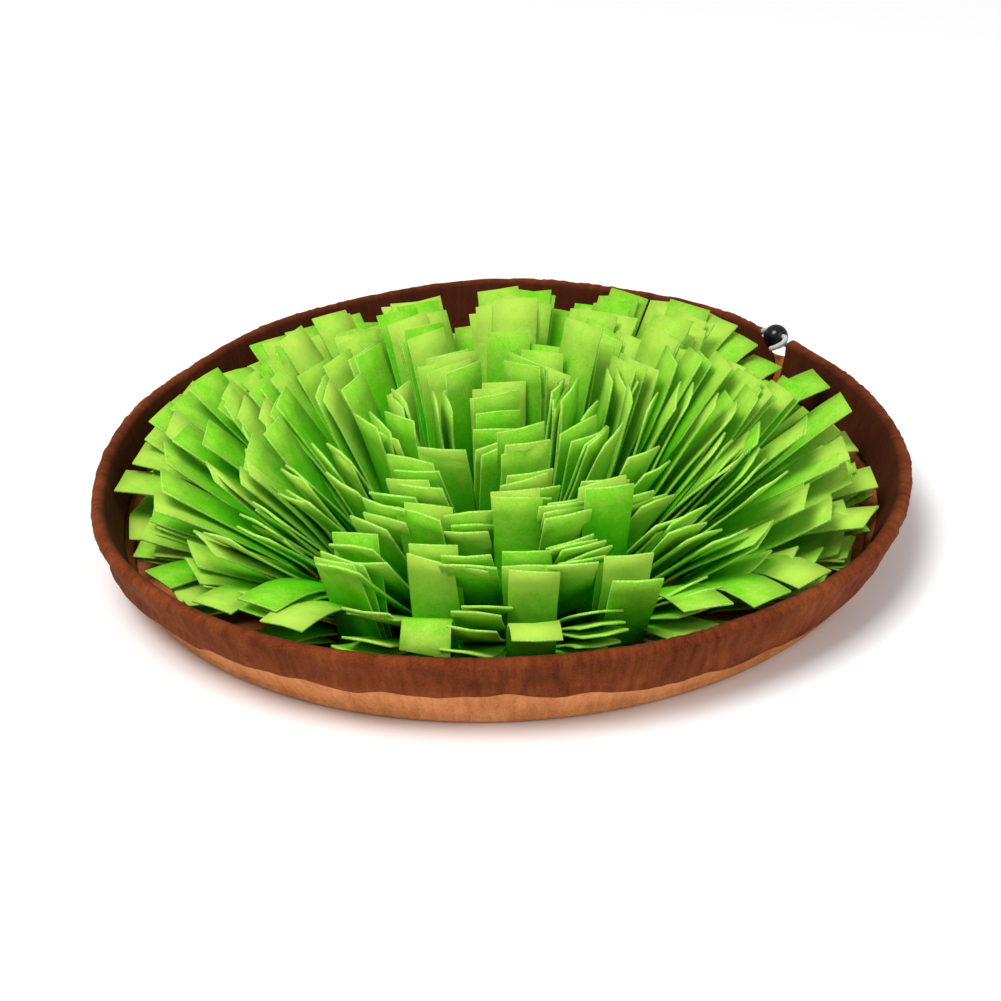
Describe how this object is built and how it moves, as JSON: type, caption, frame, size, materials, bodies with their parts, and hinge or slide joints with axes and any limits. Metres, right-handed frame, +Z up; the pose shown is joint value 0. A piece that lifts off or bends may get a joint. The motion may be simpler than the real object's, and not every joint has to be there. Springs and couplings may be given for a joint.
{
  "type": "snuffle mat",
  "caption": "Round cloth snuffle mat: a shallow tray with a drawstring edge, filled with a dense pile of upright and fanned felt strips for hiding food.",
  "frame": {"origin": "middle of the flat underside, on the surface the mat rests on", "axes": "+Z up; the picture looks along +Y from the -Y side, so the cord lock is at the back right (+X, +Y)"},
  "size_m": [0.45, 0.4586, 0.1001],
  "materials": {
    "base_cloth": "matte tan suede cloth",
    "edge_band": "matte dark brown suede cloth",
    "drawstring": "braided pale grey cord",
    "cord_lock": "gloss black",
    "felt": "matte light green felt"
  },
  "bodies": {
    "root": {"base_cloth": "base_cloth", "edge_band": "edge_band", "drawstring": "drawstring", "cord_lock": "cord_lock", "felt_stack_01": "felt", "felt_stack_02": "felt", "felt_stack_03": "felt", "felt_stack_04": "felt", "felt_stack_05": "felt", "felt_stack_06": "felt", "felt_stack_07": "felt", "felt_stack_08": "felt", "felt_stack_09": "felt", "felt_stack_10": "felt", "felt_stack_11": "felt", "felt_stack_12": "felt", "felt_stack_13": "felt", "felt_stack_14": "felt", "felt_stack_15": "felt", "felt_stack_16": "felt", "felt_stack_17": "felt", "felt_stack_18": "felt", "felt_stack_19": "felt", "felt_stack_20": "felt", "felt_stack_21": "felt", "felt_stack_22": "felt", "felt_stack_23": "felt", "felt_stack_24": "felt", "felt_stack_25": "felt", "felt_stack_26": "felt", "felt_stack_27": "felt", "felt_stack_28": "felt", "felt_stack_29": "felt", "felt_stack_30": "felt", "felt_stack_31": "felt", "felt_stack_32": "felt", "felt_stack_33": "felt", "felt_stack_34": "felt", "felt_stack_35": "felt", "felt_stack_36": "felt", "felt_stack_37": "felt", "felt_stack_38": "felt", "felt_stack_39": "felt", "felt_stack_40": "felt", "felt_stack_41": "felt", "felt_stack_42": "felt", "felt_stack_43": "felt", "felt_stack_44": "felt", "felt_stack_45": "felt", "felt_stack_46": "felt", "felt_stack_47": "felt", "felt_stack_48": "felt", "felt_stack_49": "felt", "felt_stack_50": "felt", "felt_stack_51": "felt", "felt_stack_52": "felt", "felt_stack_53": "felt", "felt_stack_54": "felt", "felt_stack_55": "felt"}
  },
  "joints": []
}
